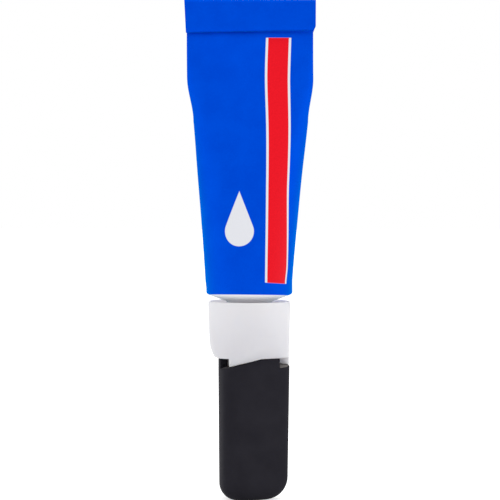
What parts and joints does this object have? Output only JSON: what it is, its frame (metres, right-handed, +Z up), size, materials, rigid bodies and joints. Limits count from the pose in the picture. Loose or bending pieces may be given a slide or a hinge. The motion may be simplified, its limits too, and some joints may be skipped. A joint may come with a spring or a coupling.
{
  "type": "glue tube",
  "caption": "Collapsible aluminium glue tube with a folded end, a nozzle collar that screws down to pierce the neck, and a tri-lobed twist cap with a pin that keeps the nozzle clear.",
  "frame": {"origin": "centre of the flat end of the cap, which the tube stands on in the picture", "axes": "+Z up the tube's axis from the cap to the folded end, +X to the right of the printed front, +Y away from the viewer"},
  "size_m": [0.0206, 0.0134, 0.0782],
  "materials": {
    "cap_plastic": "satin black moulded plastic",
    "pin_steel": "drawn wire",
    "collar_plastic": "translucent white moulded plastic",
    "bare_aluminium": "bare rolled foil",
    "enamelled_aluminium": "gloss blue enamel outside, bare shoulder and neck",
    "seal_latex": "matt sealing compound",
    "adhesive": "clear thin liquid"
  },
  "bodies": {
    "cap": {"cap": "cap_plastic"},
    "pin": {"cap_pin": "pin_steel"},
    "nozzle": {"nozzle_collar": "collar_plastic"},
    "membrane": {"neck_membrane": "bare_aluminium"},
    "tube": {"tube_body": "enamelled_aluminium", "end_seal": "seal_latex", "adhesive_fill": "adhesive"}
  },
  "joints": [
    {"name": "cap_twist", "type": "hinge", "parent": "cap", "child": "pin", "pos_m": [0, 0, 0], "axis": [0, 0, -1], "range_deg": [0, 26]},
    {"name": "cap_pull", "type": "slide", "parent": "pin", "child": "nozzle", "axis": [0, 0, 1], "range_m": [0, 0.026]},
    {"name": "neck_travel", "type": "slide", "parent": "nozzle", "child": "membrane", "axis": [0, 0, -1], "range_m": [0, 0.0007], "deforming": ["neck_membrane"]},
    {"name": "neck_screw", "type": "hinge", "parent": "membrane", "child": "tube", "pos_m": [0, 0, 0.03], "axis": [0, 0, -1], "range_deg": [0, 201.7], "deforming": ["neck_membrane"]}
  ],
  "couplings": [
    {"joint": "neck_screw", "follows": "neck_travel", "rad_per_m": 5026.5}
  ]
}
